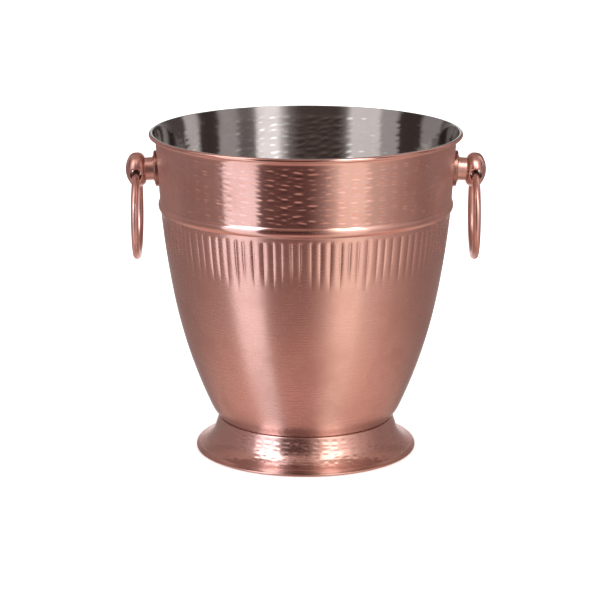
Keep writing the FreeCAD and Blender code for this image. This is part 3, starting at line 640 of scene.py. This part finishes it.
# Light by elevation above the horizon in degrees: the plain studio, the lit strips and the backdrop.
STUDIO = (
    (-90, (0.20, 0.155, 0.15)),
    (-74, (0.34, 0.275, 0.26)),
    (-60, (0.56, 0.38, 0.345)),
    (-48, (0.53, 0.395, 0.345)),
    (-36, (0.39, 0.30, 0.275)),
    (-26, (0.13, 0.092, 0.09)),
    (-12, (0.11, 0.074, 0.072)),
    (4, (0.062, 0.043, 0.041)),
    (18, (0.07, 0.049, 0.046)),
    (45, (0.30, 0.225, 0.20)),
    (90, (0.36, 0.30, 0.28)),
)
STRIPS = (
    (-90, (0.42, 0.37, 0.34)),
    (-70, (0.60, 0.54, 0.50)),
    (-58, (0.78, 0.71, 0.66)),
    (-45, (1.09, 0.97, 0.87)),
    (-32, (1.21, 1.12, 1.02)),
    (-12, (1.13, 1.13, 1.11)),
    (2, (1.66, 1.54, 1.56)),
    (24, (1.66, 1.54, 1.56)),
    (32, (4.6, 4.9, 4.8)),
    (60, (4.6, 4.9, 4.8)),
    (74, (0.6, 0.58, 0.55)),
    (90, (0.3, 0.28, 0.26)),
)
BACKDROP = (
    (-90, (0.3, 0.3, 0.3)),
    (-30, (0.9, 0.9, 0.9)),
    (4, (0.9, 0.9, 0.9)),
    (24, (0.3, 0.28, 0.26)),
    (90, (0.28, 0.25, 0.23)),
)
# Share of strip light and of backdrop by azimuth in degrees, 0 being the camera's side and 90 its right.
STRIP_SHARE = (
    (-180, 0.13),
    (-110, 0.13),
    (-64, 0.17),
    (-61.5, 0.2),
    (-60, 0.95),
    (-35, 0.95),
    (-33.5, 0.04),
    (-18, 0.0),
    (2, 0.0),
    (12.5, 0.17),
    (20, 0.5),
    (26, 0.82),
    (42, 0.82),
    (46.5, 0.50),
    (71, 0.26),
    (96, 0.13),
    (180, 0.13),
)
# The same share above the horizon, where the room's smaller lights show as well.
UPPER_SHARE = (
    (-180, 0.04),
    (-142, 0.04),
    (-138, 0.2),
    (-116, 0.2),
    (-111, 0.0),
    (-90, 0.0),
    (-86, 0.3),
    (-71, 0.3),
    (-68, 0.62),
    (-42, 0.62),
    (-37, 0.10),
    (-30, 0.0),
    (6, 0.0),
    (15, 0.1),
    (22, 0.5),
    (26, 0.9),
    (44, 0.9),
    (47, 0.08),
    (60, 0.08),
    (64, 0.27),
    (80, 0.27),
    (84, 0.0),
    (101, 0.0),
    (105, 0.42),
    (118, 0.42),
    (122, 0.03),
    (180, 0.04),
)
# Tint of the strips by azimuth: cool on the left, a little warm on the right.
STRIP_TINT = (
    (-180, (1.0, 1.0, 1.0)),
    (-66, (1.0, 1.0, 1.0)),
    (-60, (0.90, 1.06, 1.2)),
    (-34, (0.90, 1.06, 1.2)),
    (-20, (1.0, 1.0, 1.0)),
    (10, (1.0, 1.0, 1.0)),
    (20, (0.93, 1.0, 0.97)),
    (46, (0.93, 1.0, 0.97)),
    (70, (1.0, 0.97, 0.93)),
    (180, (1.0, 0.97, 0.93)),
)
BACKDROP_SHARE = (
    (-180, 1.0),
    (-166, 0.85),
    (-153, 0.04),
    (-140, 0.0),
    (140, 0.0),
    (153, 0.04),
    (166, 0.85),
    (180, 1.0),
)
STUDIO_STRENGTH = 1.25
DOME_RADIUS, DOME_HEIGHT = 0.55, 0.12
HORIZON_RISE, STEEP_RISE = (0.5, 0.53), (0.64, 0.67)  # shares of the way from straight down to up
MOUTH_HEIGHTS = (0.181, 0.186)  # metres: mirrors above these see the room's smaller lights
OUTSIDE_LIFT = 8.0  # degrees by which mirrors below them see the strips lower down
# What the light is multiplied by when it is met in a second reflection, and in later ones.
ECHO, LATE_ECHO = (0.95, 0.95, 0.94), (1.3, 1.3, 1.25)
ROOM_LIGHT, ROOM_SEEN = (1.8, 1.8, 1.8), (1.0, 1.0, 1.0)


def soft_room():
    """An even white world, which lights the floor and stands behind it."""
    world = bpy.data.worlds.new("soft_room")
    bpy.context.scene.world = world
    world.use_nodes = True
    world.cycles.sampling_method = "NONE"
    nodes = Nodes(world.node_tree)
    ray = nodes.add("ShaderNodeLightPath")
    back = nodes.add("ShaderNodeBackground")
    nodes.link(nodes.mix(ray.outputs["Is Camera Ray"], ROOM_LIGHT, ROOM_SEEN), back.inputs["Color"])
    output = nodes.add("ShaderNodeOutputWorld")
    nodes.link(back.outputs[0], output.inputs["Surface"])


def studio():
    """Soft studio light as a dome that only reflections see: strips of light and a pale backdrop.

    The dome is near, so the strips shift between one side of the bucket and the other as real
    softboxes do; how high a reflection looks is taken from the ray itself. The height of the mirror,
    found from the ray's length, decides whether it sees the room's smaller lights as the mouth does.
    """
    mesh = bpy.data.meshes.new("studio_dome")
    shape = bmesh.new()
    bmesh.ops.create_icosphere(shape, subdivisions=5, radius=DOME_RADIUS)
    bmesh.ops.translate(shape, verts=shape.verts, vec=(0, 0, DOME_HEIGHT))
    shape.to_mesh(mesh)
    shape.free()
    dome = bpy.data.objects.new("studio_dome", mesh)
    bpy.context.scene.collection.objects.link(dome)
    dome.visible_camera = False
    dome.visible_diffuse = False
    dome.visible_shadow = False
    dome.visible_transmission = False
    material = bpy.data.materials.new("studio_light")
    material.use_nodes = True
    material.cycles.emission_sampling = "NONE"
    mesh.materials.append(material)
    nodes = Nodes(material.node_tree)
    place = nodes.add("ShaderNodeNewGeometry")
    spot = nodes.add("ShaderNodeSeparateXYZ")
    nodes.link(place.outputs["Position"], spot.inputs[0])
    gaze = nodes.add("ShaderNodeSeparateXYZ")
    nodes.link(place.outputs["Incoming"], gaze.inputs[0])
    east, north, _ = spot.outputs
    azimuth = nodes.math("ARCTAN2", east, nodes.math("MULTIPLY", north, -1.0))
    turned = nodes.math("MULTIPLY_ADD", azimuth, 1 / TURN)
    turned.node.inputs[2].default_value = 0.5
    risen = nodes.math("MULTIPLY_ADD", nodes.math("ARCSINE", gaze.outputs[2]), -1 / math.pi)
    risen.node.inputs[2].default_value = 0.5

    def ramp(value, stops, full):
        node = nodes.add("ShaderNodeValToRGB")
        nodes.link(value, node.inputs[0])
        band = node.color_ramp
        band.elements.remove(band.elements[1])
        for number, (degrees, tone) in enumerate(stops):
            place = degrees / full + 0.5
            element = band.elements.new(place) if number else band.elements[0]
            element.position = place
            element.color = (*tone, 1.0) if isinstance(tone, tuple) else (tone, tone, tone, 1.0)
        return node.outputs[0]

    ray = nodes.add("ShaderNodeLightPath")
    climbed = nodes.math("MULTIPLY", gaze.outputs[2], ray.outputs["Ray Length"])
    mirror_height = nodes.math("ADD", spot.outputs[2], climbed)
    from_mouth = nodes.span(mirror_height, *MOUTH_HEIGHTS)
    horizon = nodes.span(risen, *HORIZON_RISE)
    above = nodes.math("MULTIPLY", horizon, from_mouth)
    lift = nodes.math("MULTIPLY", nodes.math("SUBTRACT", horizon, above), OUTSIDE_LIFT / 180)
    strip_rise = nodes.math("ADD", risen, lift)
    share = nodes.mix(above, ramp(turned, STRIP_SHARE, 360), ramp(turned, UPPER_SHARE, 360))
    steep = nodes.span(strip_rise, *STEEP_RISE)
    share = nodes.mix(steep, share, nodes.mix(1.0, share, share, "MULTIPLY"))
    below = nodes.math("SUBTRACT", 1.0, above)
    strips = nodes.mix(below, ramp(strip_rise, STRIPS, 180), ramp(turned, STRIP_TINT, 360), "MULTIPLY")
    lit = nodes.mix(share, ramp(risen, STUDIO, 180), strips)
    room = nodes.mix(ramp(turned, BACKDROP_SHARE, 360), lit, ramp(risen, BACKDROP, 180))
    echo = nodes.math("GREATER_THAN", ray.outputs["Ray Depth"], 1.5)
    late = nodes.math("GREATER_THAN", ray.outputs["Ray Depth"], 2.5)
    tone = nodes.mix(late, ECHO, LATE_ECHO)
    light = nodes.add("ShaderNodeEmission")
    nodes.link(nodes.mix(echo, room, tone, "MULTIPLY"), light.inputs["Color"])
    light.inputs["Strength"].default_value = STUDIO_STRENGTH
    output = nodes.add("ShaderNodeOutputMaterial")
    nodes.link(light.outputs[0], output.inputs["Surface"])


CAMERA_PLACE, CAMERA_DIP = (-0.0041, -1.6893, 0.5245), 13.887  # metres, and degrees below level
LENS, SENSOR_WIDTH = 146.67, 36  # millimetres


def camera():
    """Stands before the bucket and a little above it, looking slightly down."""
    lens = bpy.data.cameras.new("camera")
    lens.lens = LENS
    lens.sensor_width = SENSOR_WIDTH
    made = bpy.data.objects.new("camera", lens)
    made.location = CAMERA_PLACE
    made.rotation_euler = (math.radians(90 - CAMERA_DIP), 0, 0)
    bpy.context.scene.collection.objects.link(made)
    bpy.context.scene.camera = made


pale_floor()
soft_room()
studio()
camera()
bpy.context.scene.view_settings.view_transform = "Standard"
bpy.context.scene.cycles.glossy_bounces = 8
